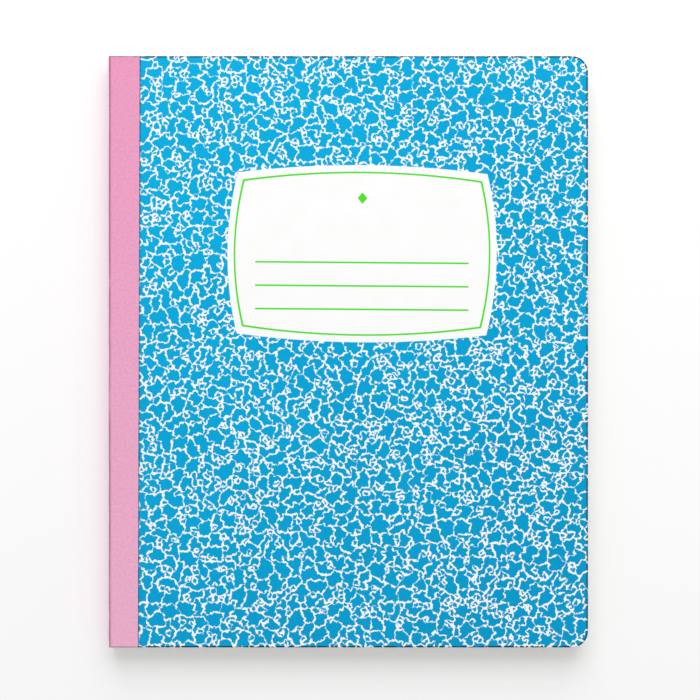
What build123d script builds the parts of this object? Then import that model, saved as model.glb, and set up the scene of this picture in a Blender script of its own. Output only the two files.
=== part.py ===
from build123d import *

import os

# Composition notebook: one thick section of folded leaves, sewn through the fold, between two flush-cut
# pasteboard covers that a strip of cloth tape joins round the spine.
#
# Frame: millimetres, +Z up. The notebook lies closed on its back cover, with its spine at -X, its fore-edge
# at +X and its head at +Y. The origin is the centre of the bounding box's bottom face.

# Overall size, after the three sides are trimmed together
width = 190.5
height = 235.0
corner_radius = 6.35

# Leaves: full sheets folded in half, so one section of leaf_count leaves
leaf_count = 100
leaf_thickness = 0.076
spine_corner_radius = 1.2

# Covers, from the outside in: printed facing paper, pasteboard, pasted-down endpaper
facing_thickness = 0.12
board_thickness = 0.90
endpaper_thickness = 0.10

# Cloth tape, wrapped round the spine and pressed a little way into each cover
tape_thickness = 0.25
tape_reach = 12.0
tape_press_depth = 0.05
tape_fold_radius = 0.25

# Sewing: one thread in running stitch through the fold
thread_radius = 0.20
thread_clearance = 0.10
thread_bend_radius = 0.60
stitch_length = 7.0
stitch_end_margin = 10.0

# Clearances
cover_gap = 0.05
hinge_clearance = 0.05

# Heights, worked out from the back cover upwards
cover_thickness = facing_thickness + board_thickness + endpaper_thickness
tape_proud = tape_thickness - tape_press_depth
block_thickness = leaf_count * leaf_thickness
block_bottom = tape_proud + cover_thickness + cover_gap
block_top = block_bottom + block_thickness
middle_z = (block_bottom + block_top) / 2
cover_inner_z = block_top + cover_gap
cover_outer_z = cover_inner_z + cover_thickness
taped_outer_z = cover_outer_z - tape_press_depth
tape_outer_z = taped_outer_z + tape_thickness

# Places along the width
outer_spine_x = -width / 2
spine_x = outer_spine_x + tape_thickness
tape_edge_x = outer_spine_x + tape_reach
fore_edge_x = width / 2

# Hinge lines: each cover turns about a line just outside the tape, level with its own gap to the leaves
hinge_x = outer_spine_x - hinge_clearance
front_hinge_z = block_top + cover_gap / 2
back_hinge_z = block_bottom - cover_gap / 2


def trim_outline(bottom, top):
    """The space between two heights that the trimmed notebook fills, with rounded fore-edge corners."""
    outline = Rectangle(width, height)
    fore_edge_corners = [v for v in outline.vertices() if v.X > 0]
    return extrude(Pos(0, 0, bottom) * fillet(fore_edge_corners, corner_radius), top - bottom)


def along_height(section):
    """A cross-section drawn in X and Z, carried from tail to head."""
    return extrude(Plane.XZ * section, height / 2, both=True)


def section_of(*points):
    return make_face(Polyline(*points, close=True))


def layer_section(outer, inner, outer_under_tape, inner_under_tape):
    """One layer of the front cover. Outside the tape it lies between outer and inner, and under it a little
    deeper, where the tape was pressed in."""
    return section_of(
        (spine_x, outer_under_tape),
        (tape_edge_x, outer_under_tape),
        (tape_edge_x, outer),
        (fore_edge_x, outer),
        (fore_edge_x, inner),
        (tape_edge_x, inner),
        (tape_edge_x, inner_under_tape),
        (spine_x, inner_under_tape),
    )


def cover_envelope():
    """The whole front cover's section, with its outer corner at the spine eased by the tape's fold."""
    whole = section_of(
        (spine_x, cover_inner_z),
        (spine_x, taped_outer_z),
        (tape_edge_x, taped_outer_z),
        (tape_edge_x, cover_outer_z),
        (fore_edge_x, cover_outer_z),
        (fore_edge_x, cover_inner_z),
    )
    spine_corner = min(whole.vertices(), key=lambda v: v.X - v.Y)
    return fillet([spine_corner], tape_fold_radius)


def plain_layer(outer, inner):
    """A layer of even height, with no step at the tape's edge."""
    return section_of((spine_x, outer), (fore_edge_x, outer), (fore_edge_x, inner), (spine_x, inner))


def front_cover_layers():
    """The front cover's three sheets as solids, by name."""
    facing_inner_z = cover_outer_z - facing_thickness
    facing_inner_taped_z = facing_inner_z - tape_press_depth
    board_inner_z = cover_inner_z + endpaper_thickness
    sections = {
        "facing_paper": layer_section(cover_outer_z, facing_inner_z, taped_outer_z, facing_inner_taped_z),
        "board": section_of(
            (spine_x, facing_inner_taped_z),
            (tape_edge_x, facing_inner_taped_z),
            (tape_edge_x, facing_inner_z),
            (fore_edge_x, facing_inner_z),
            (fore_edge_x, board_inner_z),
            (spine_x, board_inner_z),
        ),
        "endpaper": plain_layer(board_inner_z, cover_inner_z),
    }
    envelope = cover_envelope()
    trim = trim_outline(cover_inner_z, cover_outer_z)
    return {name: along_height(section & envelope) & trim for name, section in sections.items()}


def front_tape_turn():
    """The tape where it lies on the front cover and turns down over the board's edge."""
    turn = section_of(
        (outer_spine_x, cover_inner_z),
        (outer_spine_x, tape_outer_z),
        (tape_edge_x, tape_outer_z),
        (tape_edge_x, cover_inner_z),
    )
    outer_corner = min(turn.vertices(), key=lambda v: v.X - v.Y)
    turn = fillet([outer_corner], tape_fold_radius + tape_thickness)
    return along_height(turn - cover_envelope())


def spine_tape_strip():
    """The tape where it is glued to the fold of the leaves."""
    return along_height(
        section_of(
            (outer_spine_x, block_bottom),
            (outer_spine_x, block_top),
            (spine_x, block_top),
            (spine_x, block_bottom),
        )
    )


# Stitches lie in a groove on the outside of the fold, and at the middle opening on its inside
groove_depth = 2 * (thread_radius + thread_clearance)
outer_run_x = spine_x + groove_depth / 2
inner_run_x = spine_x + block_thickness / 2
inner_stitch_count = int((height - 2 * stitch_end_margin - stitch_length) // (2 * stitch_length))
sewn_length = (2 * inner_stitch_count + 1) * stitch_length


def inner_stitch_ends():
    """Where each stitch on the inside of the fold starts and ends, from tail to head."""
    first = -sewn_length / 2 + stitch_length
    starts = [first + 2 * n * stitch_length for n in range(inner_stitch_count)]
    return [(start, start + stitch_length) for start in starts]


def thread_path():
    """The thread's line, in running stitch: out along the groove, in through the fold, and out again."""
    points = [(outer_run_x, -sewn_length / 2, middle_z)]
    for start, end in inner_stitch_ends():
        points += [
            (outer_run_x, start, middle_z),
            (inner_run_x, start, middle_z),
            (inner_run_x, end, middle_z),
            (outer_run_x, end, middle_z),
        ]
    points.append((outer_run_x, sewn_length / 2, middle_z))
    return FilletPolyline(*points, radius=thread_bend_radius)


def thread_tube(radius):
    path = thread_path()
    return sweep(Plane(origin=path @ 0, z_dir=path % 0) * Circle(radius), path=path)


def sewing_thread():
    return thread_tube(thread_radius)


def page_block():
    """The leaves, sewn into one section. The fold is pressed square, with a groove for the thread."""
    section = section_of(
        (spine_x, block_bottom),
        (spine_x, block_top),
        (fore_edge_x, block_top),
        (fore_edge_x, block_bottom),
    )
    fold_corners = [v for v in section.vertices() if v.X < 0]
    block = along_height(fillet(fold_corners, spine_corner_radius)) & trim_outline(block_bottom, block_top)
    groove = Pos(spine_x, 0, middle_z) * Box(2 * groove_depth, height, groove_depth)
    needle_holes = thread_tube(thread_radius + thread_clearance / 2)
    return block - groove - needle_holes


def mirrored_to_back(solid):
    """The back cover is the front cover's mirror image about the middle of the leaves."""
    return mirror(solid, Plane.XY.offset(middle_z))


def all_pieces():
    pieces = {
        "page_block": page_block(),
        "sewing_thread": sewing_thread(),
        "spine_tape": spine_tape_strip(),
        "spine_tape_front_turn": front_tape_turn(),
    }
    pieces["spine_tape_back_turn"] = mirrored_to_back(pieces["spine_tape_front_turn"])
    for layer, solid in front_cover_layers().items():
        pieces["front_" + layer] = solid
        pieces["back_" + layer] = mirrored_to_back(solid)
    return pieces


os.makedirs("parts", exist_ok=True)
for node, solid in all_pieces().items():
    export_step(solid, f"parts/{node}.step")
print(f"hinge x {hinge_x:.3f}, front z {front_hinge_z:.3f}, back z {back_hinge_z:.3f}")
print(f"overall {width:.2f} x {height:.2f} x {tape_outer_z:.2f}")
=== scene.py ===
"""A composition notebook: sewn leaves between two marbled board covers, bound with a strip of cloth tape."""

import math
import random

import bpy
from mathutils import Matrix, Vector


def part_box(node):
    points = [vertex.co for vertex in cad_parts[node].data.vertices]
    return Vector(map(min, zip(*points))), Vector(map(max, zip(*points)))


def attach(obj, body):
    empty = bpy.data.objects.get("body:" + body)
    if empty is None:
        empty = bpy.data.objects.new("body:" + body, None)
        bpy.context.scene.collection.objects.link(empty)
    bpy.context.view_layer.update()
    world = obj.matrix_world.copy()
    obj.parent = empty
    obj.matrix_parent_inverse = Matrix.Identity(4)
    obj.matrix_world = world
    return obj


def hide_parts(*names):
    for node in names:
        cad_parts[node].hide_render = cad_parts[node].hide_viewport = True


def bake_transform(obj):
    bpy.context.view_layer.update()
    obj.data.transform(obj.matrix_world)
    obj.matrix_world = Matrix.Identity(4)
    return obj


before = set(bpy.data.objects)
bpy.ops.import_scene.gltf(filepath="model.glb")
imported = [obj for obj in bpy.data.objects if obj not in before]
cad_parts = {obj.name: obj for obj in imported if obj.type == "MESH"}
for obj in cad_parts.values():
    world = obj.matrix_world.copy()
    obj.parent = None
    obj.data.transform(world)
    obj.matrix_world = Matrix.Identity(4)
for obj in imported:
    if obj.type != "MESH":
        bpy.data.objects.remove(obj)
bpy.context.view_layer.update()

# ---------------------------------------------------------------------------
# Leaves
# Fifty sheets of white uncoated writing paper, folded once at the spine and
# nested in each other. The block is trimmed after sewing, so its cut edges are
# nearly flush, and only small steps between the leaves show on them.
# ---------------------------------------------------------------------------
MM = 0.001
SHEETS = 50
CORNER_RADIUS = 6.35 * MM
CORNER_STEPS = 10

block_low, block_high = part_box("page_block")
middle_z = (block_low[2] + block_high[2]) / 2
sheet_thickness = (block_high[2] - block_low[2]) / (2 * SHEETS)
paper_share = 0.93  # the rest of each sheet's room is air
spine_radius = 1.2 * MM
spine_ease = 0.15 * MM  # the folds stand this far inside the block's spine face
cut = random.Random(12)


def lofted(rings):
    """Vertices and faces of a closed solid that runs through rings of equal numbers of points."""
    size = len(rings[0])
    vertices = [point for ring in rings for point in ring]
    faces = [tuple(reversed(range(size)))]
    for start in range(0, size * (len(rings) - 1), size):
        for i in range(size):
            j = (i + 1) % size
            faces.append((start + i, start + j, start + size + j, start + size + i))
    faces.append(tuple(range(size * (len(rings) - 1), size * len(rings))))
    return vertices, faces


def make_piece(name, solids, material, smooth_below=None):
    """One mesh object from a list of (vertices, faces), with its normals outward."""
    vertices, faces = [], []
    for solid_vertices, solid_faces in solids:
        first = len(vertices)
        vertices += solid_vertices
        faces += [tuple(first + i for i in face) for face in solid_faces]
    mesh = bpy.data.meshes.new(name)
    mesh.from_pydata(vertices, [], faces)
    mesh.update()
    mesh.materials.append(material)
    if smooth_below:
        mesh.polygons.foreach_set("use_smooth", [True] * len(mesh.polygons))
        mesh.set_sharp_from_angle(angle=math.radians(smooth_below))
    piece = bpy.data.objects.new(name, mesh)
    bpy.context.scene.collection.objects.link(piece)
    return piece


def linear(hex_colour):
    """An sRGB hex colour as linear red, green, blue and alpha."""
    parts = [int(hex_colour[i:i + 2], 16) / 255 for i in (1, 3, 5)]
    return tuple(p / 12.92 if p <= 0.04045 else ((p + 0.055) / 1.055) ** 2.4 for p in parts) + (1.0,)


def add(tree, kind, settings=(), links=()):
    """Adds a node, sets its properties, and sets or joins its input sockets. Gives back the node."""
    node = tree.nodes.new("ShaderNode" + kind)
    for name, value in dict(settings).items():
        setattr(node, name, value)
    for name, value in dict(links).items():
        if isinstance(value, bpy.types.NodeSocket):
            tree.links.new(value, node.inputs[name])
        else:
            node.inputs[name].default_value = value
    return node


def new_material(name, roughness, specular):
    """A material with one Principled shader, which is given back with its node tree."""
    material = bpy.data.materials.new(name)
    material.use_nodes = True
    tree = material.node_tree
    shader = tree.nodes["Principled BSDF"]
    shader.inputs["Roughness"].default_value = roughness
    shader.inputs["Specular IOR Level"].default_value = specular
    return material, tree, shader


def fore_corner(x, fore_edge, half_width):
    """How far a leaf or cover reaches along the spine at x, less where its fore-edge corners are rounded."""
    into = x - (fore_edge - CORNER_RADIUS)
    if into <= 0:
        return half_width
    return half_width - CORNER_RADIUS + math.sqrt(max(CORNER_RADIUS ** 2 - into ** 2, 0))


def corner_stations(fore_edge):
    """Places along x, from the fore edge inward, that draw the rounded corners."""
    angles = [math.pi / 2 * i / CORNER_STEPS for i in range(CORNER_STEPS + 1)]
    return [fore_edge - CORNER_RADIUS * (1 - math.cos(a)) for a in angles]


def folded_sheet(index, step_in):
    """One sheet of two leaves, as a solid: the outermost has index 0."""
    outside = (SHEETS - index) * sheet_thickness
    inside = outside - sheet_thickness * paper_share
    fold_x = block_low[0] + spine_ease + index * sheet_thickness
    radius = min(max(spine_radius - index * sheet_thickness, 0.1 * MM), outside * 0.98)
    inner_radius = max(radius - sheet_thickness * paper_share, 0.01 * MM)
    fore_edge = block_high[0] - step_in
    head = block_high[1] - cut.uniform(0.02, 0.10) * MM - step_in * 0.6
    tail = -block_low[1] - cut.uniform(0.02, 0.10) * MM - step_in * 0.6
    outline = []
    for x in corner_stations(fore_edge):
        outline.append(((x, outside), (x, inside), x))
    for i in range(5):
        a = math.pi / 2 * (1 + i / 4)
        centre_x = fold_x + radius
        outer = (centre_x + radius * math.cos(a), outside - radius + radius * math.sin(a))
        inner = (centre_x + inner_radius * math.cos(a), outside - radius + inner_radius * math.sin(a))
        outline.append((outer, inner, outer[0]))
    lower = [((o[0], -o[1]), (i[0], -i[1]), x) for o, i, x in reversed(outline)]
    rings = []
    for outer, inner, x in outline + lower:
        top, bottom = fore_corner(x, fore_edge, head), -fore_corner(x, fore_edge, tail)
        rings.append([
            (outer[0], top, middle_z + outer[1]),
            (outer[0], bottom, middle_z + outer[1]),
            (inner[0], bottom, middle_z + inner[1]),
            (inner[0], top, middle_z + inner[1]),
        ])
    return lofted(rings)


# Uncoated wood-free paper: bright, matt, with a faint cloudy formation and fibres. Its cut edges carry painted
# shade as fine dark lines between the leaves, drawn about three leaves apart so that they can be seen.
LINE_SPACING = 3 * sheet_thickness
LINE_STRETCH = 0.012  # how fast the lines change along the edge, against across it
GAP_SHADE_STRENGTH = 0.75

writing_paper, tree, shader = new_material("uncoated_writing_paper", 0.85, 0.2)
place = add(tree, "TexCoord").outputs["Object"]
formation = add(tree, "TexNoise", links={"Vector": place, "Scale": 1 / (4 * MM), "Detail": 4.0})
tone = add(tree, "ValToRGB", links={"Fac": formation.outputs["Fac"]})
tone.color_ramp.elements[0].position = 0.3
tone.color_ramp.elements[0].color = linear("#F2F0E8")
tone.color_ramp.elements[1].position = 0.7
tone.color_ramp.elements[1].color = linear("#F7F6F0")
stretched = add(tree, "VectorMath", {"operation": "MULTIPLY"},
                {0: place, 1: (LINE_STRETCH, LINE_STRETCH, 1)}).outputs[0]
# Painted shade: dark lines where shade falls between the leaves, on the upright cut edges only.
leaf_gap_shade_noise = add(tree, "TexNoise", links={"Vector": stretched, "Scale": 1 / LINE_SPACING, "Detail": 2.0})
painted_gap_shade_level = add(tree, "MapRange", links={"Value": leaf_gap_shade_noise.outputs["Fac"], "From Min": 0.42, "From Max": 0.68,
                                        "To Max": GAP_SHADE_STRENGTH})
normal = add(tree, "NewGeometry").outputs["True Normal"]
normal_z = add(tree, "SeparateXYZ", links={0: normal}).outputs["Z"]
level = add(tree, "Math", {"operation": "ABSOLUTE"}, {0: normal_z}).outputs[0]
upright = add(tree, "MapRange", links={"Value": level, "From Min": 0.3, "From Max": 0.6,
                                       "To Min": 1.0, "To Max": 0.0})
painted_gap_shade = add(tree, "Math", {"operation": "MULTIPLY"},
              {0: painted_gap_shade_level.outputs["Result"], 1: upright.outputs["Result"]}).outputs[0]
gap_shaded_paper = add(tree, "Mix", {"data_type": "RGBA"},
            {"Factor": painted_gap_shade, "A": tone.outputs["Color"], "B": linear("#B9B4A4")}).outputs["Result"]
tree.links.new(gap_shaded_paper, shader.inputs["Base Color"])
fibres = add(tree, "TexNoise", links={"Vector": place, "Scale": 1 / (0.35 * MM), "Detail": 3.0})
relief = add(tree, "Bump", links={"Height": fibres.outputs["Fac"], "Strength": 0.25, "Distance": 0.02 * MM})
tree.links.new(relief.outputs["Normal"], shader.inputs["Normal"])

# The leaves' steps at the fore edge wander, in mm, because the stack shifts a little under the knife.
LEAST_STEP, MOST_STEP = 0.02, 0.28
drift = 0.08
sheets = []
for index in range(SHEETS):
    drift = min(max(drift + cut.uniform(-0.06, 0.06), LEAST_STEP), MOST_STEP)
    sheets.append(folded_sheet(index, (drift + cut.uniform(0, 0.07)) * MM))
leaves = make_piece("leaves", sheets, writing_paper)
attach(leaves, "leaves")
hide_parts("page_block")

# ---------------------------------------------------------------------------
# Ruling
# Blue writing lines and a red margin, printed on the leaves. Only the first
# and last pages are ever seen, so only they carry them, as films of ink.
# ---------------------------------------------------------------------------
LINE_PITCH = 8.7 * MM  # wide rule
HEAD_MARGIN = 32 * MM
TAIL_MARGIN = 10 * MM
SIDE_MARGIN = 31.75 * MM
RULE_WIDTH = 0.38 * MM
INK_FILM = 0.012 * MM


def flat_box(x0, x1, y0, y1, z0, z1):
    """A thin flat bar as a solid."""
    low = [(x0, y0, z0), (x1, y0, z0), (x1, y1, z0), (x0, y1, z0)]
    return lofted([low, [(x, y, z1) for x, y, _ in low]])


def printing_ink(name, hex_colour):
    """Matt offset ink that has sunk into the paper, so it is a little uneven."""
    ink, tree, shader = new_material(name, 0.7, 0.15)
    place = add(tree, "TexCoord").outputs["Object"]
    mottle = add(tree, "TexNoise", links={"Vector": place, "Scale": 1 / (0.8 * MM), "Detail": 3.0})
    tone = add(tree, "HueSaturation", links={"Color": linear(hex_colour)})
    level = add(tree, "MapRange", links={"Value": mottle.outputs["Fac"], "To Min": 0.95, "To Max": 1.04})
    tree.links.new(level.outputs["Result"], tone.inputs["Value"])
    tree.links.new(tone.outputs["Color"], shader.inputs["Base Color"])
    return ink


rule_ink = printing_ink("blue_ruling_ink", "#9CBBE0")
margin_ink = printing_ink("red_ruling_ink", "#E48A95")
for page, side in (("first_page", 1), ("last_page", -1)):
    page_z = middle_z + side * (block_high[2] - middle_z)
    film_z = page_z + side * INK_FILM
    near_x, far_x = block_low[0] + 2.5 * MM, block_high[0] - 0.4 * MM
    bars = []
    y = block_high[1] - HEAD_MARGIN
    while y > block_low[1] + TAIL_MARGIN:
        bars.append(flat_box(near_x, far_x, y, y + RULE_WIDTH, page_z, film_z))
        y -= LINE_PITCH
    lines = make_piece(page + "_writing_lines", bars, rule_ink)
    margin_x = block_low[0] + SIDE_MARGIN
    margin_bar = flat_box(margin_x, margin_x + RULE_WIDTH, block_low[1] + 0.4 * MM,
                          block_high[1] - 0.4 * MM, page_z, page_z + side * INK_FILM * 1.5)
    margin = make_piece(page + "_margin_line", [margin_bar], margin_ink)
    for print_piece in (lines, margin):
        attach(print_piece, "leaves")

# ---------------------------------------------------------------------------
# Sewing thread
# One white cotton thread, twisted from three plies and lightly waxed, stitched
# through the fold of all the sheets at once before the tape goes on.
# ---------------------------------------------------------------------------
PLY_PITCH = 0.5 * MM
WAVES = 20 / 6.28  # bands of a wave texture in one unit, at a scale of 1

# Waxed cotton: off-white with a low sheen, and darker in the twist between the plies, which is painted shade.
cotton_thread, tree, shader = new_material("twisted_cotton_thread", 0.7, 0.25)
place = add(tree, "TexCoord").outputs["Object"]
plies = add(tree, "TexWave", {"bands_direction": "DIAGONAL"},
            {"Vector": place, "Scale": 1 / (WAVES * PLY_PITCH), "Distortion": 0.6})
tone = add(tree, "ValToRGB", links={"Fac": plies.outputs["Fac"]})
tone.color_ramp.elements[0].color = linear("#D9D5C9")
tone.color_ramp.elements[1].color = linear("#F4F1E8")
tree.links.new(tone.outputs["Color"], shader.inputs["Base Color"])
relief = add(tree, "Bump", links={"Height": plies.outputs["Fac"], "Strength": 0.6, "Distance": 0.05 * MM})
tree.links.new(relief.outputs["Normal"], shader.inputs["Normal"])
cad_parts["sewing_thread"].data.materials.clear()
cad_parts["sewing_thread"].data.materials.append(cotton_thread)

# ---------------------------------------------------------------------------
# Boards
# Grey pasteboard, pressed from waste-paper pulp in plies and cut with a
# guillotine. Only its cut edges show, with their plies and pulp specks.
# ---------------------------------------------------------------------------
PLY = 0.18 * MM
PLY_WIDTH = 14  # a ply's patches are this much wider than it is thick

# Pulp board: dull and rough, in layers of slightly different grey, with darker specks.
pasteboard, tree, shader = new_material("grey_pasteboard", 0.9, 0.15)
place = add(tree, "TexCoord").outputs["Object"]
flattened = add(tree, "VectorMath", {"operation": "MULTIPLY"}, {0: place, 1: (1, 1, PLY_WIDTH)}).outputs[0]
plies = add(tree, "TexNoise", links={"Vector": flattened, "Scale": 1 / (PLY_WIDTH * PLY), "Detail": 4.0,
                                     "Roughness": 0.6})
tone = add(tree, "ValToRGB", links={"Fac": plies.outputs["Fac"]})
tone.color_ramp.elements[0].position = 0.3
tone.color_ramp.elements[0].color = linear("#8E897E")
tone.color_ramp.elements[1].position = 0.7
tone.color_ramp.elements[1].color = linear("#C2BDB0")
pulp = add(tree, "TexNoise", links={"Vector": place, "Scale": 1 / (0.3 * MM), "Detail": 2.0})
specks = add(tree, "MapRange", links={"Value": pulp.outputs["Fac"], "From Min": 0.62, "From Max": 0.70})
speckled = add(tree, "Mix", {"data_type": "RGBA"},
               {"Factor": specks.outputs["Result"], "A": tone.outputs["Color"], "B": linear("#6B665D")})
tree.links.new(speckled.outputs["Result"], shader.inputs["Base Color"])
relief = add(tree, "Bump", links={"Height": plies.outputs["Fac"], "Strength": 0.5, "Distance": 0.06 * MM})
tree.links.new(relief.outputs["Normal"], shader.inputs["Normal"])
for side in ("front", "back"):
    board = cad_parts[side + "_board"]
    board.data.materials.clear()
    board.data.materials.append(pasteboard)

# ---------------------------------------------------------------------------
# Endpapers
# Plain white cartridge paper, pasted over the inside of each board so that the
# cover lies flat. It is a little warmer and rougher than the writing paper.
# ---------------------------------------------------------------------------
# Machine-made cartridge: matt, with a cloudy tone and a grain raised by the damp of the paste.
endpaper, tree, shader = new_material("pasted_endpaper", 0.9, 0.2)
place = add(tree, "TexCoord").outputs["Object"]
formation = add(tree, "TexNoise", links={"Vector": place, "Scale": 1 / (7 * MM), "Detail": 5.0,
                                         "Roughness": 0.6})
tone = add(tree, "ValToRGB", links={"Fac": formation.outputs["Fac"]})
tone.color_ramp.elements[0].position = 0.3
tone.color_ramp.elements[0].color = linear("#F0EEE6")
tone.color_ramp.elements[1].position = 0.7
tone.color_ramp.elements[1].color = linear("#F5F3EC")
tree.links.new(tone.outputs["Color"], shader.inputs["Base Color"])
paste_grain = add(tree, "TexNoise", links={"Vector": place, "Scale": 1 / (0.5 * MM), "Detail": 3.0})
relief = add(tree, "Bump", links={"Height": paste_grain.outputs["Fac"], "Strength": 0.3,
                                  "Distance": 0.03 * MM})
tree.links.new(relief.outputs["Normal"], shader.inputs["Normal"])
for side in ("front", "back"):
    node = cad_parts[side + "_endpaper"]
    node.data.materials.clear()
    node.data.materials.append(endpaper)

# ---------------------------------------------------------------------------
# Facing papers
# White paper printed with the trade's old crackle marble in blue, glued over
# the outside of each board before trimming. The cut presses its rim down a
# little, and a thin dark line is painted along it, partly ink and dirt and partly painted shade.
# ---------------------------------------------------------------------------
RIM = 0.08 * MM
RIM_DROP = 0.03 * MM
TAPE_PRESS = 0.05 * MM
TAPE_SKEW = 0.35 * MM  # the tape was laid this much wider at the head, and narrower at the tail
FINE_CELL = 1.85  # mm, the lobes along a blob's edge
BLOB_CELL = 5.5  # mm, the blobs of ink
VEIN_HALF_WIDTH = 0.278  # mm
VEIN_SWING = 0.45  # mm, how much the half width varies
CRUMBLED_ABOVE = 0.668  # the small cells stay separate where a noise is above this
BACK_SHIFT = 17.0  # mm along the sheet for each mm of height
TAPE_EDGE_SHADOW = 0.15, 0.65  # mm past the tape, where its shadow begins to fade and ends
RIM_LINE = 0.7, 0.35  # mm inside the rim, where its dark line begins and is full

tape_low, tape_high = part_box("spine_tape_front_turn")
tape_edge = tape_high[0]

# Offset print on smooth paper: flat blue ink with crisp white veins, and hardly any gloss.
marbled_paper, tree, shader = new_material("printed_marbled_paper", 0.55, 0.05)
place = add(tree, "TexCoord").outputs["Object"]
millimetres = add(tree, "VectorMath", {"operation": "SCALE"}, {0: place, "Scale": 1000.0}).outputs[0]
xyz = add(tree, "SeparateXYZ", links={0: millimetres})
# The back cover is cut from another part of the printed sheet.
shifted_x = add(tree, "Math", {"operation": "MULTIPLY_ADD"},
                {0: xyz.outputs["Z"], 1: BACK_SHIFT, 2: xyz.outputs["X"]})
on_sheet = add(tree, "CombineXYZ", links={"X": shifted_x.outputs[0], "Y": xyz.outputs["Y"]}).outputs[0]


def wandered(vector, size, amount, offset):
    """The place on the sheet, pushed about by a noise of that size, both in mm."""
    moved = add(tree, "VectorMath", {"operation": "ADD"}, {0: vector, 1: offset}).outputs[0]
    noise = add(tree, "TexNoise", {"noise_dimensions": "2D"},
                {"Vector": moved, "Scale": 1 / size, "Detail": 1.0, "Roughness": 0.5}).outputs["Color"]
    centred = add(tree, "VectorMath", {"operation": "SUBTRACT"}, {0: noise, 1: (0.5, 0.5, 0.5)}).outputs[0]
    return add(tree, "VectorMath", {"operation": "MULTIPLY_ADD"},
               {0: centred, 1: (amount, amount, 0), 2: vector}).outputs[0]


def patch_noise(size, offset, low, high):
    """A noise of that size in mm, from 0 below low to 1 above high."""
    moved = add(tree, "VectorMath", {"operation": "ADD"}, {0: on_sheet, 1: offset}).outputs[0]
    noise = add(tree, "TexNoise", {"noise_dimensions": "2D"},
                {"Vector": moved, "Scale": 1 / size, "Detail": 1.0})
    return add(tree, "MapRange", {"interpolation_type": "SMOOTHSTEP"},
               {"Value": noise.outputs["Fac"], "From Min": low, "From Max": high}).outputs["Result"]


def blob_at(vector):
    """A colour that names the blob of ink there: small cells gather into large ones, except in patches."""
    small = add(tree, "TexVoronoi", {"voronoi_dimensions": "2D"}, {"Vector": vector, "Scale": 1 / FINE_CELL})
    cell_place = small.outputs["Position"]
    large = add(tree, "TexVoronoi", {"voronoi_dimensions": "2D"},
                {"Vector": wandered(cell_place, 3.0, 0.8, (8, 3, 0)), "Scale": 1 / BLOB_CELL})
    moved = add(tree, "VectorMath", {"operation": "ADD"}, {0: cell_place, 1: (47, 7, 0)}).outputs[0]
    noise = add(tree, "TexNoise", {"noise_dimensions": "2D"},
                {"Vector": moved, "Scale": 1 / 3.4, "Detail": 1.0})
    crumbled = add(tree, "Math", {"operation": "GREATER_THAN"},
                   {0: noise.outputs["Fac"], 1: CRUMBLED_ABOVE}).outputs[0]
    return add(tree, "Mix", {"data_type": "RGBA"},
               {"Factor": crumbled, "A": large.outputs["Color"], "B": small.outputs["Color"]}).outputs["Result"]


rough_place = wandered(on_sheet, 1.2, 1.0, (5, 29, 0))
width_noise = patch_noise(1.8, (3, 91, 0), 0.25, 0.75)
half_width = add(tree, "Math", {"operation": "MULTIPLY_ADD"},
                 {0: width_noise, 1: VEIN_SWING, 2: VEIN_HALF_WIDTH - VEIN_SWING / 2}).outputs[0]
# A vein is where the places half a vein away in four directions aren't all in one blob.
blobs = []
for direction in ((1, 0.3, 0), (-0.3, 1, 0), (-1, -0.3, 0), (0.3, -1, 0)):
    step = add(tree, "VectorMath", {"operation": "SCALE"}, {0: direction, "Scale": half_width}).outputs[0]
    blobs.append(blob_at(add(tree, "VectorMath", {"operation": "ADD"}, {0: rough_place, 1: step}).outputs[0]))
vein = 0.0
for other in blobs[1:]:
    apart = add(tree, "VectorMath", {"operation": "DISTANCE"}, {0: blobs[0], 1: other}).outputs["Value"]
    differs = add(tree, "Math", {"operation": "GREATER_THAN"}, {0: apart, 1: 0.001}).outputs[0]
    vein = add(tree, "Math", {"operation": "MAXIMUM"}, {0: differs, 1: vein}).outputs[0]

# Painted light: the ink is lighter towards the head and the spine and darker towards the tail and the fore
# edge, as the lamp falls off; it also drifts at random over the sheet.
cloudy = add(tree, "MapRange", links={"Value": patch_noise(38.0, (9, 9, 0), 0.25, 0.75),
                                      "To Min": 0.4, "To Max": 0.6})
across = add(tree, "Math", {"operation": "MULTIPLY_ADD"},
             {0: xyz.outputs["X"], 1: -1 / 380, 2: cloudy.outputs["Result"]}).outputs[0]
laid = add(tree, "Math", {"operation": "MULTIPLY_ADD"},
           {0: xyz.outputs["Y"], 1: 1 / 300, 2: across}).outputs[0]
light_falloff_and_drift_tone = add(tree, "ValToRGB", links={"Fac": laid})
light_falloff_and_drift_tone.color_ramp.elements[0].color = linear("#049CCF")
light_falloff_and_drift_tone.color_ramp.elements[1].color = linear("#05AFE2")
mottle = add(tree, "MapRange", links={"Value": patch_noise(0.7, (77, 31, 0), 0.2, 0.8),
                                      "To Min": 0.93, "To Max": 1.05})
ink_tone = add(tree, "HueSaturation",
               links={"Color": light_falloff_and_drift_tone.outputs["Color"], "Value": mottle.outputs["Result"]})
printed = add(tree, "Mix", {"data_type": "RGBA"},
              {"Factor": vein, "A": ink_tone.outputs["Color"], "B": linear("#FAFCFB")}).outputs["Result"]
# Painted shadow: a dark line along the tape's edge, where its raised edge shades the marble.
from_tape = add(tree, "Math", {"operation": "MULTIPLY_ADD"},
                {0: xyz.outputs["Y"], 1: -TAPE_SKEW / block_high[1], 2: xyz.outputs["X"]}).outputs[0]
tape_shadow_fade = add(tree, "MapRange", {"interpolation_type": "SMOOTHSTEP"},
                {"Value": from_tape, "From Min": tape_edge / MM + TAPE_EDGE_SHADOW[0],
                 "From Max": tape_edge / MM + TAPE_EDGE_SHADOW[1], "To Min": 0.8, "To Max": 0.0}).outputs["Result"]
tape_edge_painted_shadow = add(tree, "Mix", {"data_type": "RGBA", "blend_type": "MULTIPLY"},
                {"Factor": tape_shadow_fade, "A": printed, "B": linear("#1F6F6A")}).outputs["Result"]
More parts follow.
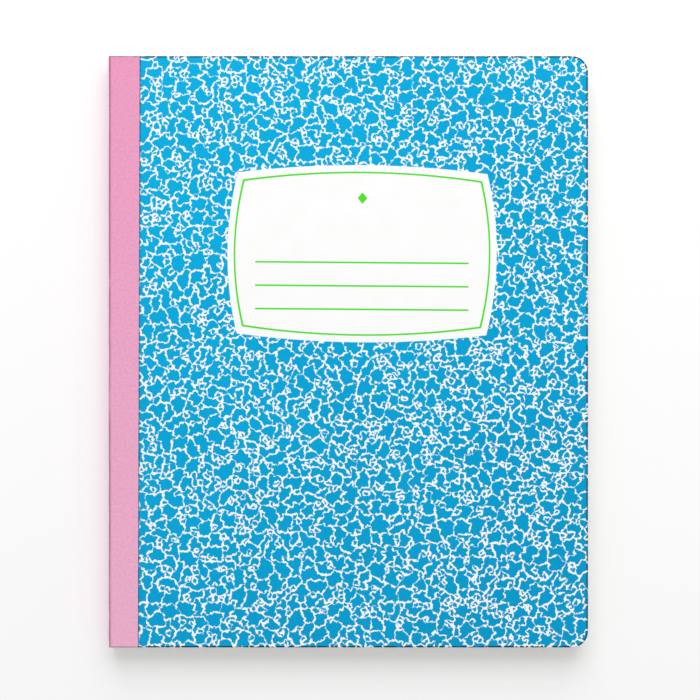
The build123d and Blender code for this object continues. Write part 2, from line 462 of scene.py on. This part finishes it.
# A thin dark line along the trimmed rim: partly ink and dirt left by the guillotine, partly painted shade of
# the turned edge.
beside = add(tree, "Math", {"operation": "ABSOLUTE"}, {0: xyz.outputs["Y"]}).outputs[0]
rim_place = add(tree, "CombineXYZ", links={"X": xyz.outputs["X"], "Y": beside}).outputs[0]
corner_centre = ((block_high[0] - CORNER_RADIUS) / MM, (block_high[1] - CORNER_RADIUS) / MM, 0)
past_corner = add(tree, "VectorMath", {"operation": "SUBTRACT"}, {0: rim_place, 1: corner_centre}).outputs[0]
outward = add(tree, "VectorMath", {"operation": "MAXIMUM"}, {0: past_corner, 1: (0, 0, 0)}).outputs[0]
reach = add(tree, "VectorMath", {"operation": "LENGTH"}, {0: outward}).outputs["Value"]
rim = add(tree, "MapRange", {"interpolation_type": "SMOOTHSTEP"},
          {"Value": reach, "From Min": CORNER_RADIUS / MM - RIM_LINE[0],
           "From Max": CORNER_RADIUS / MM - RIM_LINE[1]}).outputs["Result"]
on_ink = add(tree, "Math", {"operation": "MULTIPLY_ADD"}, {0: vein, 1: -0.75, 2: 1.0}).outputs[0]
rim_ink = add(tree, "Math", {"operation": "MULTIPLY"}, {0: rim, 1: on_ink}).outputs[0]
rim_dirt_and_shade = add(tree, "Math", {"operation": "MULTIPLY"},
               {0: rim_ink, 1: patch_noise(4.0, (70, 5, 0), 0.15, 0.45)}).outputs[0]
rimmed = add(tree, "Mix", {"data_type": "RGBA", "blend_type": "MULTIPLY"},
             {"Factor": rim_dirt_and_shade, "A": tape_edge_painted_shadow, "B": linear("#2C4048")}).outputs["Result"]
tree.links.new(rimmed, shader.inputs["Base Color"])
paper_grain = patch_noise(0.35, (15, 55, 0), 0.2, 0.8)
relief = add(tree, "Bump", links={"Height": paper_grain, "Strength": 0.2, "Distance": 0.02 * MM})
tree.links.new(relief.outputs["Normal"], shader.inputs["Normal"])


def bake_map(piece, ring_size, top_faces):
    """Gives the printed face nearly the whole of the map that the print is baked to."""
    mesh = piece.data
    layer = mesh.uv_layers.new(name="OFBake")
    low = [min(v.co[i] for v in mesh.vertices) for i in range(3)]
    high = [max(v.co[i] for v in mesh.vertices) for i in range(3)]
    for index, face in enumerate(mesh.polygons):
        part = (index - 1) % ring_size if 0 < index < len(mesh.polygons) - 1 else -1
        for corner in face.loop_indices:
            co = mesh.vertices[mesh.loops[corner].vertex_index].co
            x, y, z = ((co[i] - low[i]) / (high[i] - low[i]) for i in range(3))
            if part in top_faces:
                place_on_map = (0.01 + 0.94 * x, 0.015 + 0.97 * y)
            elif part == top_faces[-1] + 2:  # the glued side, in a narrow strip
                place_on_map = (0.97 + 0.01 * x, 0.015 + 0.97 * y)
            elif part in (top_faces[-1] + 1, top_faces[-1] + 3):  # the edges at head and tail
                edge = 0.002 if part == top_faces[-1] + 1 else 0.99
                place_on_map = (0.01 + 0.94 * x, edge + 0.008 * z)
            else:  # the edges at the spine and the fore edge
                place_on_map = (0.985 + 0.006 * z + (0.007 if index else 0.0), 0.015 + 0.97 * y)
            layer.data[corner].uv = place_on_map


for side, sign in (("front", 1), ("back", -1)):
    low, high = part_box(side + "_facing_paper")
    outer_z = (high[2] if sign > 0 else low[2])
    inner_z = (low[2] if sign > 0 else high[2])
    # The tape presses the paper down under it, and the paper rises again just past its edge.
    stations = [(low[0], TAPE_PRESS), (tape_edge - 0.4 * MM, TAPE_PRESS), (tape_edge + 0.15 * MM, 0.0)]
    stations += [(x, 0.0) for x in reversed(corner_stations(high[0] - RIM))]
    stations.append((high[0], RIM_DROP))
    rings = []
    for x, press in stations:
        reach = fore_corner(min(x, high[0] - 0.02 * MM), high[0], high[1])
        face_z = outer_z - sign * press
        rim_z = outer_z - sign * max(press, RIM_DROP)
        inner_reach = reach - RIM if x < high[0] else reach - RIM * 0.5
        rings.append([
            (x, reach, rim_z), (x, inner_reach, face_z), (x, -inner_reach, face_z),
            (x, -reach, rim_z), (x, -reach, inner_z), (x, reach, inner_z),
        ])
    if sign < 0:
        rings = [[ring[i] for i in (3, 2, 1, 0, 5, 4)] for ring in rings]
    facing = make_piece(side + "_marbled_paper", [lofted(rings)], marbled_paper)
    bake_map(facing, 6, (0, 1, 2))
    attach(facing, side + "_cover")
    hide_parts(side + "_facing_paper")

# ---------------------------------------------------------------------------
# Name panel
# A white barrel-shaped panel left in the marble for the owner's name, with a
# thin green frame, three green writing lines and a small green lozenge.
# ---------------------------------------------------------------------------
PANEL_FILM = 0.012 * MM
PANEL_CENTRE = (5.5 * MM, 38.95 * MM)
PANEL_TURN = math.radians(-0.45)  # printed a touch off square
LINE_WIDTH = 0.68 * MM
SIDE_STEPS = 24
# Half lengths and half heights in mm, at the middle of the sides and then at the corners.
PANEL_SIZE = (53.5, 35.2, 49.6, 32.0)
FRAME_SIZE = (50.7, 32.3, 47.2, 28.9)
# In mm from the middle of the panel.
WRITING_LINES = (-3.5, -12.8, -22.1)
LINE_END = 42.4
LOZENGE_AT = 22.1
LOZENGE_HALF = (1.95, 2.3)

cover_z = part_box("front_facing_paper")[1][2]


def on_panel(x, y):
    """A place on the cover from one on the panel, given in mm from its centre."""
    turned_x = x * math.cos(PANEL_TURN) - y * math.sin(PANEL_TURN)
    turned_y = x * math.sin(PANEL_TURN) + y * math.cos(PANEL_TURN)
    return (PANEL_CENTRE[0] + turned_x * MM, PANEL_CENTRE[1] + turned_y * MM)


def barrel(half_length, half_height, corner_length, corner_height):
    """The outline of a panel whose four sides bow outward between sharp corners."""
    points = []
    for i in range(SIDE_STEPS):
        t = -1 + 2 * i / SIDE_STEPS
        points.append((corner_length * t, -half_height + (half_height - corner_height) * t * t))
    for i in range(SIDE_STEPS):
        t = -1 + 2 * i / SIDE_STEPS
        points.append((half_length - (half_length - corner_length) * t * t, corner_height * t))
    points += [(-x, -y) for x, y in points]
    return [on_panel(x, y) for x, y in points]


def film(outline, low, high):
    """A thin film of print with that outline."""
    return lofted([[(x, y, cover_z + low) for x, y in outline], [(x, y, cover_z + high) for x, y in outline]])


# The facing paper with no ink on it: bright white and matt, with a fine grain.
panel_paper, tree, shader = new_material("bare_white_paper", 0.7, 0.15)
place = add(tree, "TexCoord").outputs["Object"]
formation = add(tree, "TexNoise", links={"Vector": place, "Scale": 1 / (9 * MM), "Detail": 4.0})
tone = add(tree, "ValToRGB", links={"Fac": formation.outputs["Fac"]})
tone.color_ramp.elements[0].position = 0.3
tone.color_ramp.elements[0].color = linear("#FAFAF9")
tone.color_ramp.elements[1].position = 0.7
tone.color_ramp.elements[1].color = linear("#FDFDFD")
tree.links.new(tone.outputs["Color"], shader.inputs["Base Color"])
grain = add(tree, "TexNoise", links={"Vector": place, "Scale": 1 / (0.35 * MM), "Detail": 2.0})
relief = add(tree, "Bump", links={"Height": grain.outputs["Fac"], "Strength": 0.2, "Distance": 0.02 * MM})
tree.links.new(relief.outputs["Normal"], shader.inputs["Normal"])

panel = make_piece("name_panel", [film(barrel(*PANEL_SIZE), -PANEL_FILM, PANEL_FILM)], panel_paper)

half_line = LINE_WIDTH / 2 / MM
outer_line = barrel(*(size + half_line for size in FRAME_SIZE))
inner_line = barrel(*(size - half_line for size in FRAME_SIZE))
frame_rings = []
for outer, inner in zip(outer_line, inner_line):
    low, high = cover_z, cover_z + 2 * PANEL_FILM
    frame_rings.append([(*outer, low), (*outer, high), (*inner, high), (*inner, low)])
frame_vertices, frame_faces = lofted(frame_rings + frame_rings[:1])
count = len(frame_rings) * 4
frame_faces = [tuple(i % count for i in face) for face in frame_faces[1:-1]]
prints = [(frame_vertices[:count], frame_faces)]
for line_y in WRITING_LINES:
    line = [on_panel(x, line_y + y) for x, y in
            ((-LINE_END, -half_line), (LINE_END, -half_line), (LINE_END, half_line), (-LINE_END, half_line))]
    prints.append(film(line, 0, 2 * PANEL_FILM))
half_across, half_up = LOZENGE_HALF
lozenge = [on_panel(x, LOZENGE_AT + y) for x, y in
           ((half_across, 0), (0, half_up), (-half_across, 0), (0, -half_up))]
prints.append(film(lozenge, 0, 2 * PANEL_FILM))
green_ink = printing_ink("green_printing_ink", "#50DF20")
panel_print = make_piece("name_panel_print", prints, green_ink)
for print_piece in (panel, panel_print):
    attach(print_piece, "front_cover")

# ---------------------------------------------------------------------------
# Spine tape
# One strip of pink book cloth, glued round the spine and onto both covers. It
# is made here as two halves that meet in the middle of the spine. The folds are
# darkened, partly by wear and partly by painted shade, and the spine has small dents.
# ---------------------------------------------------------------------------
TAPE = 0.25 * MM
FOLD_RADIUS = 0.5 * MM
ROWS = 235
THREAD = 0.42  # mm between threads, a little coarser than the real cloth's so that it shows
FACE_ROOM = 0.015 * MM  # the cloth's face lies this far inside the tape's packed box
DENT_REACH = 1.2 * MM  # how far from the fold a dent dies out
INNER_SHARE = 0.3  # how much of a dent the cloth's inner face takes
UNEVEN = 0.012  # mm, the cloth's own unevenness

spine_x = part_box("spine_tape")[0][0]
rub = random.Random(5)

# Dyed and starched cotton in plain weave: matt, with a fine thread pattern and paler slubs.
book_cloth, tree, shader = new_material("pink_book_cloth", 0.8, 0.15)
# The cloth's own place: mm round the fold, mm along the spine, mm from the fold.
place = add(tree, "Attribute", {"attribute_name": "cloth_place"}).outputs["Vector"]
xyz = add(tree, "SeparateXYZ", links={0: place})


def cloth_noise(size, low, high, offset=(0, 0, 0)):
    """A noise over the cloth, of that size in mm, from 0 below low to 1 above high."""
    at = add(tree, "VectorMath", {"operation": "MULTIPLY_ADD"}, {0: place, 1: (1, 1, 0), 2: offset}).outputs[0]
    noise = add(tree, "TexNoise", {"noise_dimensions": "2D"},
                {"Vector": at, "Scale": 1 / size, "Detail": 3.0})
    return add(tree, "MapRange", {"interpolation_type": "SMOOTHSTEP"},
               {"Value": noise.outputs["Fac"], "From Min": low, "From Max": high}).outputs["Result"]


def threads(axis):
    """The rise and fall of the threads that run across that axis."""
    turns = add(tree, "Math", {"operation": "MULTIPLY"}, {0: xyz.outputs[axis], 1: math.pi / THREAD})
    return add(tree, "Math", {"operation": "SINE"}, {0: turns.outputs[0]}).outputs[0]


weave = add(tree, "Math", {"operation": "MULTIPLY"}, {0: threads("X"), 1: threads("Y")}).outputs[0]
slub = cloth_noise(1.0, 0.3, 0.7)
height = add(tree, "Math", {"operation": "MULTIPLY_ADD"}, {0: weave, 1: 0.5, 2: slub}).outputs[0]
# The dye has faded a little towards the tail.
along = add(tree, "MapRange", links={"Value": xyz.outputs["Y"], "From Min": -117.0, "From Max": 117.0})
dye = add(tree, "ValToRGB", links={"Fac": along.outputs["Result"]})
dye.color_ramp.elements[0].color = linear("#EEB1CE")
dye.color_ramp.elements[1].color = linear("#EC9BC1")
shade = add(tree, "MapRange", links={"Value": height, "From Min": -0.5, "From Max": 1.5,
                                     "To Min": 0.88, "To Max": 1.08})
dyed = add(tree, "HueSaturation",
           links={"Color": dye.outputs["Color"], "Value": shade.outputs["Result"]}).outputs["Color"]
# Darker along the folds, partly wear and partly painted shade where the cloth turns away from the light,
# and darker along the cut ends at head and tail.
near_fold = add(tree, "MapRange", {"interpolation_type": "SMOOTHSTEP"},
                {"Value": xyz.outputs["Z"], "From Min": 0.1, "From Max": 0.75, "To Min": 0.5, "To Max": 0.0})
fold_wear_and_shade = add(tree, "Math", {"operation": "MULTIPLY"},
               {0: near_fold.outputs["Result"], 1: cloth_noise(14.0, 0.05, 0.5, (0, 40, 0))}).outputs[0]
from_end = add(tree, "Math", {"operation": "ABSOLUTE"}, {0: xyz.outputs["Y"]}).outputs[0]
near_end = add(tree, "MapRange", {"interpolation_type": "SMOOTHSTEP"},
               {"Value": from_end, "From Min": 116.9, "From Max": 117.3, "To Min": 0.0, "To Max": 0.7})
end_darkening = add(tree, "Math", {"operation": "MULTIPLY"},
              {0: near_end.outputs["Result"], 1: cloth_noise(3.0, 0.2, 0.6, (9, 0, 0))}).outputs[0]
fold_and_end_darkening = add(tree, "Math", {"operation": "MAXIMUM"}, {0: fold_wear_and_shade, 1: end_darkening}).outputs[0]
darkened_cloth = add(tree, "Mix", {"data_type": "RGBA"},
           {"Factor": fold_and_end_darkening, "A": dyed, "B": linear("#7C4254")}).outputs["Result"]
tree.links.new(darkened_cloth, shader.inputs["Base Color"])
relief = add(tree, "Bump", links={"Height": height, "Strength": 0.5, "Distance": 0.05 * MM})
tree.links.new(relief.outputs["Normal"], shader.inputs["Normal"])

# Dents along the spine: place, width and depth in mm. Most are slight, and the last three are deeper.
dents = [(rub.uniform(-112, 112), rub.uniform(1.5, 5.0), rub.uniform(0.04, 0.12)) for _ in range(14)]
dents += [(92.0, 5.5, 0.16), (-1.0, 3.5, 0.14), (-116.0, 1.2, 0.2)]


def dent_at(y):
    """How far the fold is pushed in at that place along the spine, in metres."""
    return max(depth * math.exp(-((y / MM - centre) / width) ** 2) for centre, width, depth in dents) * MM


def tape_section(top, edge_x):
    """The tape's outer face as seen from the head, from mid-spine round the fold to its edge:
    a list of (x, height above mid-spine, mm round the fold, mm from the fold, outward x, outward z)."""
    points = []
    arc_z = top - FOLD_RADIUS
    rise = [arc_z * i / 10 for i in range(8)]
    rise += [arc_z * 0.7 + arc_z * 0.3 * i / 12 for i in range(1, 12)]
    for z in rise:
        points.append([spine_x, z, z, arc_z - z, -1.0, 0.0])
    for i in range(9):
        a = math.pi / 2 * i / 8
        points.append([spine_x + FOLD_RADIUS * (1 - math.cos(a)), arc_z + FOLD_RADIUS * math.sin(a),
                       arc_z + FOLD_RADIUS * a, 0.0, -math.cos(a), math.sin(a)])
    flat = edge_x - spine_x - FOLD_RADIUS
    length = arc_z + FOLD_RADIUS * math.pi / 2
    for part in (0.03, 0.08, 0.2, 0.35, 0.5, 0.65, 0.8, 0.93, 0.985, 1.0):
        points.append([spine_x + FOLD_RADIUS + flat * part, top, length + flat * part, flat * part, 0.0, 1.0])
    return points


def cloth_tape(name, sign):
    """Half of the strip: sign is 1 for the front cover's half and -1 for the back's."""
    top = tape_high[2] - FACE_ROOM - middle_z
    rings, places = [], []
    for row in range(ROWS + 1):
        y = tape_low[1] + (tape_high[1] - tape_low[1]) * row / ROWS
        edge_x = tape_edge + TAPE_SKEW * y / tape_high[1] + rub.uniform(-0.05, 0.05) * MM
        dent = dent_at(y)
        section = tape_section(top, edge_x)
        outer, inner, outer_places, inner_places = [], [], [], []
        for x, z, round_fold, from_fold, out_x, out_z in section:
            push = dent * math.exp(-(from_fold / DENT_REACH) ** 2)
            lift = rub.uniform(-UNEVEN, UNEVEN) * MM
            px = x - out_x * push * abs(out_x) + out_x * min(lift, 0)
            pz = z - out_z * push - out_z * abs(lift)
            outer.append((px, y, middle_z + sign * pz))
            ix, iz = x - out_x * TAPE, z - out_z * TAPE
            inner.append((ix + push * abs(out_x) * INNER_SHARE, y, middle_z + sign * iz))
            spot = (sign * round_fold / MM, y / MM, from_fold / MM)
            outer_places.append(spot)
            inner_places.append(spot)
        ring = outer + inner[::-1]
        ring_places = outer_places + inner_places[::-1]
        rings.append(ring if sign < 0 else ring[::-1])
        places += ring_places if sign < 0 else ring_places[::-1]
    tape = make_piece(name, [lofted(rings)], book_cloth, smooth_below=40)
    spots = tape.data.attributes.new("cloth_place", "FLOAT_VECTOR", "POINT")
    spots.data.foreach_set("vector", [value for spot in places for value in spot])
    return tape


for side, sign in (("front", 1), ("back", -1)):
    tape = cloth_tape(side + "_spine_tape", sign)
    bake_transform(tape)
    if sign > 0:
        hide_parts("spine_tape_front_turn")
    else:
        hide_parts("spine_tape_back_turn", "spine_tape")

# ---------------------------------------------------------------------------
# Floor, lights and camera
# A white sheet of paper under the book, one large soft lamp beyond the head,
# and a camera straight above the cover.
# ---------------------------------------------------------------------------
white_floor, tree, shader = new_material("white_background_paper", 0.95, 0.0)
tree.nodes.remove(shader)
output = tree.nodes["Material Output"]
diffuse = add(tree, "BsdfDiffuse", links={"Color": (0.97, 0.97, 0.97, 1)})
seen = add(tree, "LightPath").outputs["Is Camera Ray"]
lift = add(tree, "Math", {"operation": "MULTIPLY"}, {0: seen, 1: 0.03}).outputs[0]
glow = add(tree, "Emission", links={"Color": (1, 1, 1, 1), "Strength": lift})
both = add(tree, "AddShader", links={0: diffuse.outputs[0], 1: glow.outputs[0]})
# Well away from the book the camera sees it as plain white, so that it has no horizon.
place = add(tree, "TexCoord").outputs["Object"]
distance = add(tree, "VectorMath", {"operation": "LENGTH"}, {0: place}).outputs["Value"]
far = add(tree, "MapRange", {"interpolation_type": "SMOOTHSTEP"},
          {"Value": distance, "From Min": 0.28, "From Max": 0.7})
plain = add(tree, "Math", {"operation": "MULTIPLY"}, {0: seen, 1: far.outputs["Result"]}).outputs[0]
white = add(tree, "Emission", links={"Color": (1, 1, 1, 1), "Strength": 1.0})
sheet = add(tree, "MixShader", links={0: plain, 1: both.outputs[0], 2: white.outputs[0]})
tree.links.new(sheet.outputs[0], output.inputs["Surface"])
half_floor = 3.0
floor_corners = [(x * half_floor, y * half_floor, 0) for x, y in ((-1, -1), (1, -1), (1, 1), (-1, 1))]
floor = make_piece("floor", [(floor_corners, [(0, 1, 2, 3)])], white_floor)

world = bpy.data.worlds.new("studio")
bpy.context.scene.world = world
world.use_nodes = True
tree = world.node_tree
background = tree.nodes["Background"]
background.inputs["Color"].default_value = (1, 1, 1, 1)
path = add(tree, "LightPath")
seen = add(tree, "Math", {"operation": "MAXIMUM"},
           {0: path.outputs["Is Camera Ray"], 1: path.outputs["Is Glossy Ray"]}).outputs[0]
seen = add(tree, "Math", {"operation": "MAXIMUM"}, {0: seen, 1: path.outputs["Is Transmission Ray"]}).outputs[0]
strength = add(tree, "MapRange", links={"Value": seen, "To Min": 0.62, "To Max": 1.0})
tree.links.new(strength.outputs["Result"], background.inputs["Strength"])

lamp = bpy.data.lights.new("key_lamp", "AREA")
lamp.shape = "SQUARE"
lamp.size = 1.4
lamp.energy = 16.0
key_lamp = bpy.data.objects.new("key_lamp", lamp)
key_lamp.location = (0.04, 1.13, 0.95)
# It is aimed at the origin, under the middle of the book.
key_lamp.rotation_euler = key_lamp.location.to_track_quat("Z", "Y").to_euler()
bpy.context.scene.collection.objects.link(key_lamp)

camera_data = bpy.data.cameras.new("camera")
camera_data.lens = 85
camera_data.sensor_width = 36
camera_data.clip_start = 0.01
camera = bpy.data.objects.new("camera", camera_data)
cover_centre = (0.7 * MM, 0.7 * MM)
picture_width = 278.2 * MM
camera_height = picture_width * camera_data.lens / camera_data.sensor_width
camera.location = (*cover_centre, cover_z + camera_height)
bpy.context.scene.collection.objects.link(camera)
bpy.context.scene.camera = camera
bpy.context.scene.view_settings.view_transform = "Standard"
